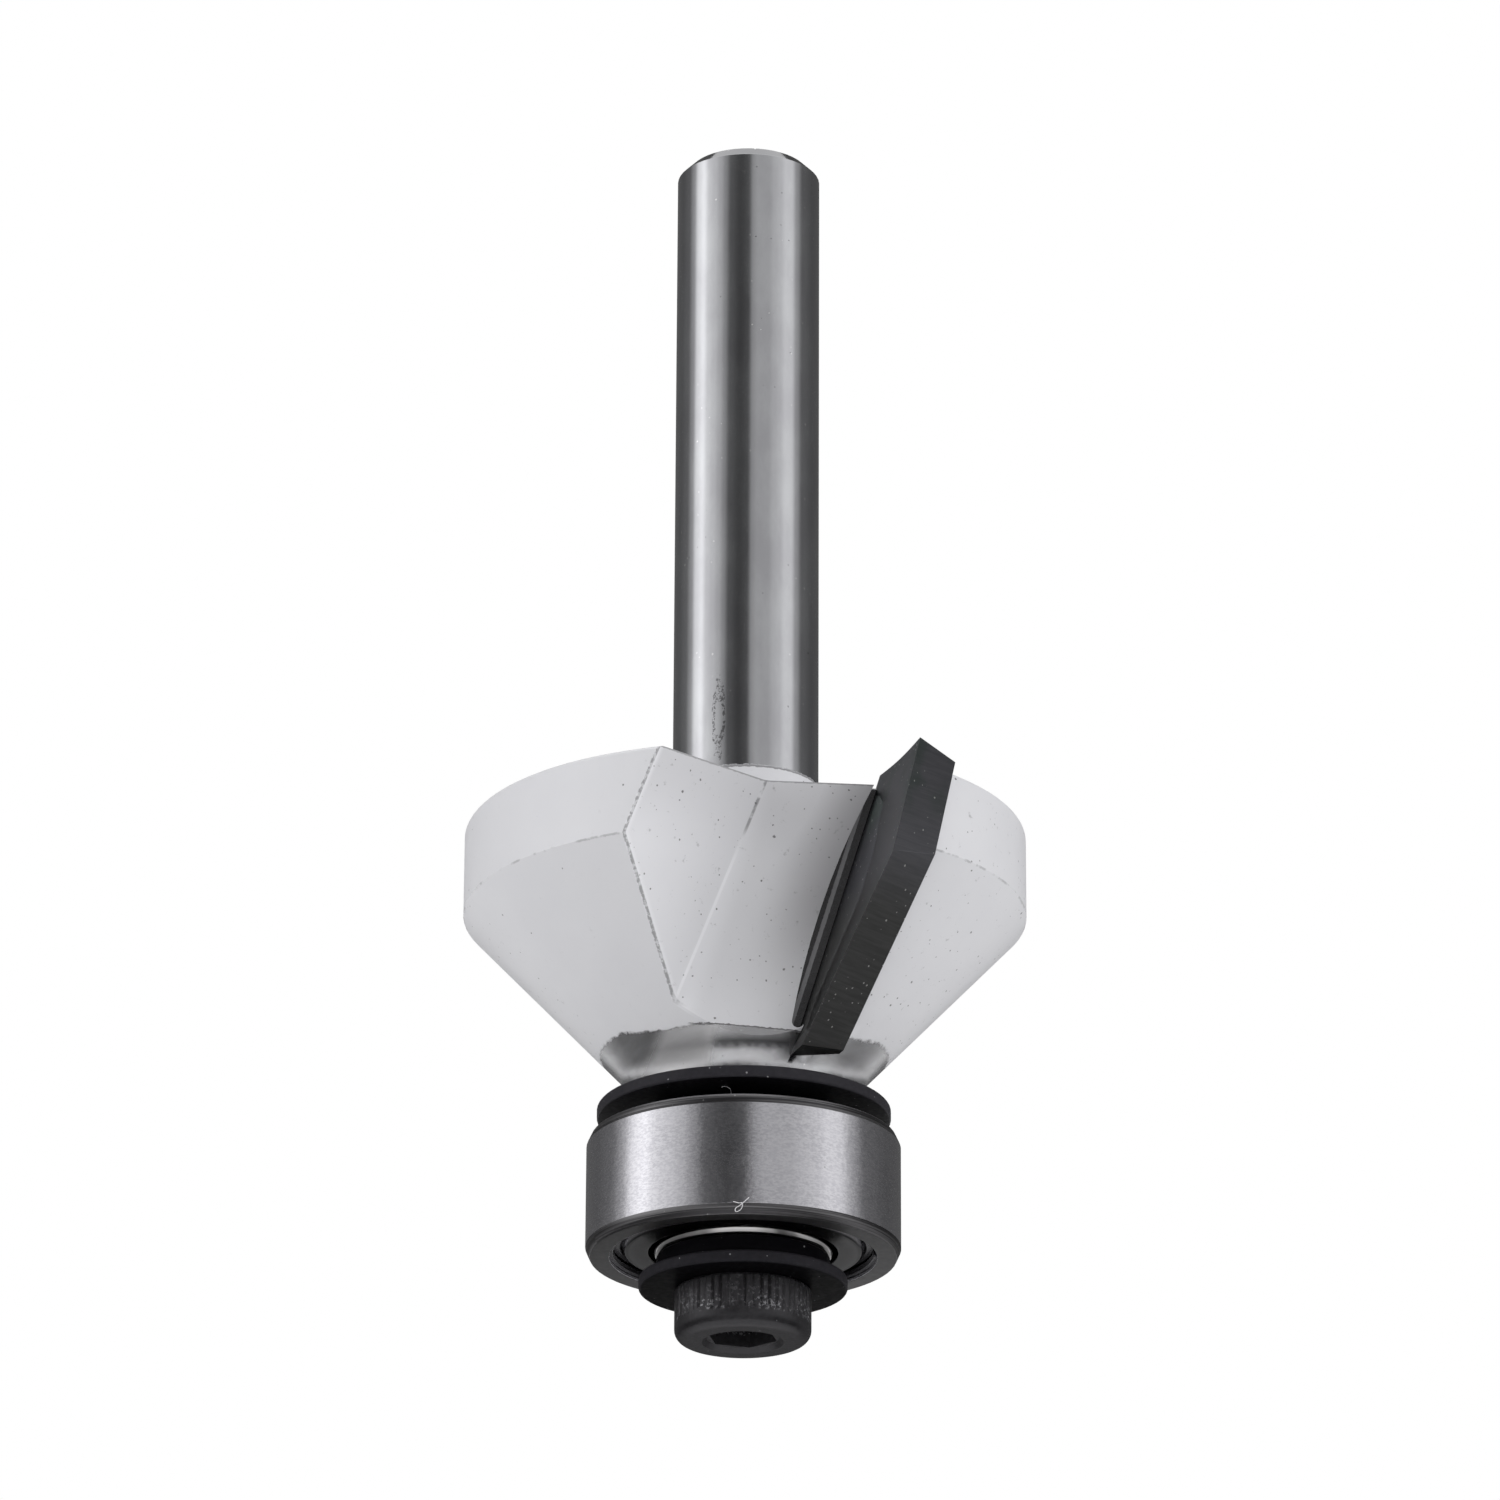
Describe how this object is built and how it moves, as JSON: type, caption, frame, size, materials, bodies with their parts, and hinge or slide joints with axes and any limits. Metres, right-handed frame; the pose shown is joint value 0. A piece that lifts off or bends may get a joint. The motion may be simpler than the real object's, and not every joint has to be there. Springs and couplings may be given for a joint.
{
  "type": "router bit",
  "caption": "Bevel router bit with a round shank, two brazed carbide cutters and a ball bearing pilot below them.",
  "frame": {"origin": "centre of the cap screw head's lower face, which the bit stands on", "axes": "+Z along the bit's axis from the screw head to the shank; the front cutter stands on the -Y side with its rake face towards -X"},
  "size_m": [0.023, 0.0248, 0.0515],
  "materials": {
    "body_paint": "off-white satin paint on the head, ground bright steel on the shank and nose",
    "carbide": "dark ground tungsten carbide",
    "black_oxide": "black oxide",
    "screw_black": "black oxide, knurled",
    "bearing_steel": "finely ground bearing steel",
    "shield_steel": "pressed sheet steel",
    "ball_steel": "polished"
  },
  "bodies": {
    "bit": {"bit_body": "body_paint", "front_cutter": "carbide", "rear_cutter": "carbide", "upper_washer": "black_oxide", "upper_spacer": "black_oxide", "inner_ring": "bearing_steel", "lower_spacer": "black_oxide", "lower_washer": "black_oxide", "cap_screw": "screw_black"},
    "outer_race": {"outer_ring": "bearing_steel", "lower_shield": "shield_steel", "upper_shield": "shield_steel", "lower_snap_ring": "shield_steel", "upper_snap_ring": "shield_steel"},
    "ball_set": {"cage_lower": "shield_steel", "cage_upper": "shield_steel", "ball_1": "ball_steel", "ball_2": "ball_steel", "ball_3": "ball_steel", "ball_4": "ball_steel", "ball_5": "ball_steel", "ball_6": "ball_steel", "ball_7": "ball_steel"}
  },
  "joints": [
    {"name": "pilot_spin", "type": "hinge", "parent": "bit", "child": "outer_race", "pos_m": [0, 0, 0.00598], "axis": [0, 0, 1], "continuous": true},
    {"name": "cage_orbit", "type": "hinge", "parent": "bit", "child": "ball_set", "pos_m": [0, 0, 0.00598], "axis": [0, 0, 1], "continuous": true}
  ],
  "couplings": [
    {"joint": "cage_orbit", "follows": "pilot_spin", "ratio": 0.6364}
  ]
}
